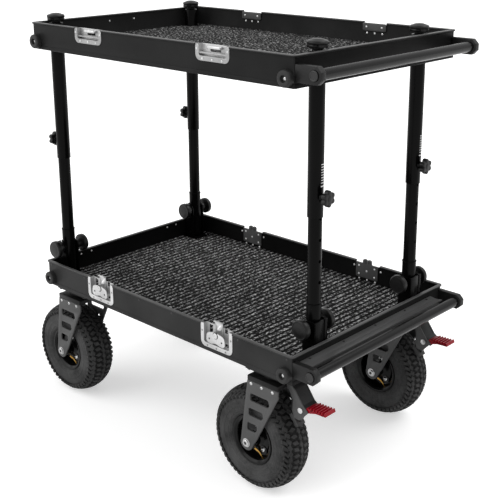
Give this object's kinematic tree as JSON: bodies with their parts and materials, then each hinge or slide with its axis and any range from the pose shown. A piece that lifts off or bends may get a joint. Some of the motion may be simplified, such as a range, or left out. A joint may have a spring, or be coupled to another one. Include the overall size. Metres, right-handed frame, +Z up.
{
  "type": "camera cart",
  "caption": "Two-tier rolling equipment cart: shallow carpeted trays on telescoping posts, pneumatic swivel casters, push handles and twist latches.",
  "frame": {"origin": "on the floor, under the centre of the cart's bounding box", "axes": "+Z up, +X towards the push handles, -Y the side with the twist latches"},
  "size_m": [1.048, 0.612, 1.0593],
  "materials": {
    "black_aluminium": "satin black anodised",
    "deck_sheet": "matt black",
    "carpet_dark": "ribbed loop carpet",
    "carpet_grey": "speckled needle carpet",
    "tube_black": "satin black anodised",
    "knob_plastic": "matt",
    "chrome": "bright plated",
    "hinge_steel": "dark satin",
    "tyre": "matt",
    "fork_grey": "satin powder coat",
    "rim_black": "gloss",
    "pedal_red": "satin"
  },
  "bodies": {
    "lower_frame": {"lower_tray_frame": "black_aluminium", "lower_deck": "deck_sheet", "lower_mat": "carpet_dark", "lower_handle": "black_aluminium", "front_ledge": "black_aluminium", "latch_dish_front": "chrome", "latch_dish_back": "chrome", "lower_hinge_front": "hinge_steel", "lower_hinge_back": "hinge_steel", "post_base_front_near": "tube_black", "post_base_front_far": "tube_black", "post_base_back_near": "tube_black", "post_base_back_far": "tube_black", "lower_tube_front_near": "tube_black", "lower_tube_front_far": "tube_black", "lower_tube_back_near": "tube_black", "lower_tube_back_far": "tube_black"},
    "upper_frame": {"upper_tray_frame": "black_aluminium", "upper_deck": "deck_sheet", "upper_mat": "carpet_grey", "upper_handle": "black_aluminium", "catch_dish_front": "chrome", "catch_dish_back": "chrome", "upper_hinge_front": "hinge_steel", "upper_hinge_back": "hinge_steel", "upper_tube_front_near": "tube_black", "upper_tube_front_far": "tube_black", "upper_tube_back_near": "tube_black", "upper_tube_back_far": "tube_black"},
    "top_knob_fn": {"top_knob_front_near": "knob_plastic"},
    "top_knob_ff": {"top_knob_front_far": "knob_plastic"},
    "top_knob_bn": {"top_knob_back_near": "knob_plastic"},
    "top_knob_bf": {"top_knob_back_far": "knob_plastic"},
    "star_knob_fn": {"star_knob_front_near": "knob_plastic"},
    "star_knob_ff": {"star_knob_front_far": "knob_plastic"},
    "star_knob_bn": {"star_knob_back_near": "knob_plastic"},
    "star_knob_bf": {"star_knob_back_far": "knob_plastic"},
    "pivot_bolt_fn": {"pivot_bolt_front_near": "knob_plastic"},
    "pivot_bolt_ff": {"pivot_bolt_front_far": "knob_plastic"},
    "pivot_bolt_bn": {"pivot_bolt_back_near": "knob_plastic"},
    "pivot_bolt_bf": {"pivot_bolt_back_far": "knob_plastic"},
    "latch_wing_f": {"latch_wing_front": "chrome"},
    "latch_wing_b": {"latch_wing_back": "chrome"},
    "latch_hook_f": {"latch_hook_front": "chrome"},
    "latch_hook_b": {"latch_hook_back": "chrome"},
    "caster_fn": {"caster_fork_front_near": "fork_grey"},
    "caster_ff": {"caster_fork_front_far": "fork_grey"},
    "caster_bn": {"caster_fork_back_near": "fork_grey"},
    "caster_bf": {"caster_fork_back_far": "fork_grey"},
    "wheel_fn": {"tyre_front_near": "tyre", "wheel_rim_front_near": "rim_black"},
    "wheel_ff": {"tyre_front_far": "tyre", "wheel_rim_front_far": "rim_black"},
    "wheel_bn": {"tyre_back_near": "tyre", "wheel_rim_back_near": "rim_black"},
    "wheel_bf": {"tyre_back_far": "tyre", "wheel_rim_back_far": "rim_black"},
    "pedal_fn": {"brake_pedal_front_near": "pedal_red"},
    "pedal_ff": {"brake_pedal_front_far": "pedal_red"}
  },
  "joints": [
    {"name": "tray_height", "type": "slide", "parent": "lower_frame", "child": "upper_frame", "axis": [0, 0, 1], "range_m": [-0.098, 0.098]},
    {"name": "top_knob_fn_turn", "type": "hinge", "parent": "upper_frame", "child": "top_knob_fn", "pos_m": [0.426, -0.185, 1.045], "axis": [0, 0, 1], "range_deg": [0, 360]},
    {"name": "top_knob_ff_turn", "type": "hinge", "parent": "upper_frame", "child": "top_knob_ff", "pos_m": [0.426, 0.185, 1.045], "axis": [0, 0, 1], "range_deg": [0, 360]},
    {"name": "top_knob_bn_turn", "type": "hinge", "parent": "upper_frame", "child": "top_knob_bn", "pos_m": [-0.408, -0.239, 1.045], "axis": [0, 0, 1], "range_deg": [0, 360]},
    {"name": "top_knob_bf_turn", "type": "hinge", "parent": "upper_frame", "child": "top_knob_bf", "pos_m": [-0.408, 0.239, 1.045], "axis": [0, 0, 1], "range_deg": [0, 360]},
    {"name": "star_knob_fn_turn", "type": "hinge", "parent": "upper_frame", "child": "star_knob_fn", "pos_m": [0.46, -0.185, 0.721], "axis": [1, 0, 0], "range_deg": [0, 360]},
    {"name": "star_knob_ff_turn", "type": "hinge", "parent": "upper_frame", "child": "star_knob_ff", "pos_m": [0.46, 0.185, 0.721], "axis": [1, 0, 0], "range_deg": [0, 360]},
    {"name": "star_knob_bn_turn", "type": "hinge", "parent": "upper_frame", "child": "star_knob_bn", "pos_m": [-0.442, -0.239, 0.721], "axis": [-1, 0, 0], "range_deg": [0, 360]},
    {"name": "star_knob_bf_turn", "type": "hinge", "parent": "upper_frame", "child": "star_knob_bf", "pos_m": [-0.442, 0.239, 0.721], "axis": [-1, 0, 0], "range_deg": [0, 360]},
    {"name": "pivot_bolt_fn_turn", "type": "hinge", "parent": "lower_frame", "child": "pivot_bolt_fn", "pos_m": [0.426, -0.185, 0.4215], "axis": [0, 1, 0], "range_deg": [0, 360]},
    {"name": "pivot_bolt_ff_turn", "type": "hinge", "parent": "lower_frame", "child": "pivot_bolt_ff", "pos_m": [0.426, 0.185, 0.4215], "axis": [0, 1, 0], "range_deg": [0, 360]},
    {"name": "pivot_bolt_bn_turn", "type": "hinge", "parent": "lower_frame", "child": "pivot_bolt_bn", "pos_m": [-0.408, -0.239, 0.4215], "axis": [0, 1, 0], "range_deg": [0, 360]},
    {"name": "pivot_bolt_bf_turn", "type": "hinge", "parent": "lower_frame", "child": "pivot_bolt_bf", "pos_m": [-0.408, 0.239, 0.4215], "axis": [0, 1, 0], "range_deg": [0, 360]},
    {"name": "latch_wing_f_turn", "type": "hinge", "parent": "lower_frame", "child": "latch_wing_f", "pos_m": [0.224, -0.294, 0.354], "axis": [0, -1, 0], "range_deg": [0, 180]},
    {"name": "latch_wing_b_turn", "type": "hinge", "parent": "lower_frame", "child": "latch_wing_b", "pos_m": [-0.206, -0.294, 0.354], "axis": [0, -1, 0], "range_deg": [0, 180]},
    {"name": "latch_hook_f_rise", "type": "slide", "parent": "lower_frame", "child": "latch_hook_f", "axis": [0, 0, 1], "range_m": [0, 0.006]},
    {"name": "latch_hook_b_rise", "type": "slide", "parent": "lower_frame", "child": "latch_hook_b", "axis": [0, 0, 1], "range_m": [0, 0.006]},
    {"name": "caster_fn_swivel", "type": "hinge", "parent": "lower_frame", "child": "caster_fn", "pos_m": [0.369, -0.241, 0.302], "axis": [0, 0, 1], "continuous": true},
    {"name": "caster_ff_swivel", "type": "hinge", "parent": "lower_frame", "child": "caster_ff", "pos_m": [0.369, 0.241, 0.302], "axis": [0, 0, 1], "continuous": true},
    {"name": "caster_bn_swivel", "type": "hinge", "parent": "lower_frame", "child": "caster_bn", "pos_m": [-0.347, -0.241, 0.302], "axis": [0, 0, 1], "continuous": true},
    {"name": "caster_bf_swivel", "type": "hinge", "parent": "lower_frame", "child": "caster_bf", "pos_m": [-0.347, 0.241, 0.302], "axis": [0, 0, 1], "continuous": true},
    {"name": "wheel_fn_spin", "type": "hinge", "parent": "caster_fn", "child": "wheel_fn", "pos_m": [0.319, -0.241, 0.127], "axis": [0, 1, 0], "continuous": true},
    {"name": "wheel_ff_spin", "type": "hinge", "parent": "caster_ff", "child": "wheel_ff", "pos_m": [0.319, 0.241, 0.127], "axis": [0, 1, 0], "continuous": true},
    {"name": "wheel_bn_spin", "type": "hinge", "parent": "caster_bn", "child": "wheel_bn", "pos_m": [-0.397, -0.241, 0.127], "axis": [0, 1, 0], "continuous": true},
    {"name": "wheel_bf_spin", "type": "hinge", "parent": "caster_bf", "child": "wheel_bf", "pos_m": [-0.397, 0.241, 0.127], "axis": [0, 1, 0], "continuous": true},
    {"name": "pedal_fn_press", "type": "hinge", "parent": "caster_fn", "child": "pedal_fn", "pos_m": [0.456, -0.241, 0.249], "axis": [0, 1, 0], "range_deg": [0, 12]},
    {"name": "pedal_ff_press", "type": "hinge", "parent": "caster_ff", "child": "pedal_ff", "pos_m": [0.456, 0.241, 0.249], "axis": [0, 1, 0], "range_deg": [0, 12]}
  ],
  "couplings": [
    {"joint": "latch_hook_f_rise", "follows": "latch_wing_f_turn", "m_per_rad": 0.0019},
    {"joint": "latch_hook_b_rise", "follows": "latch_wing_b_turn", "m_per_rad": 0.0019}
  ]
}
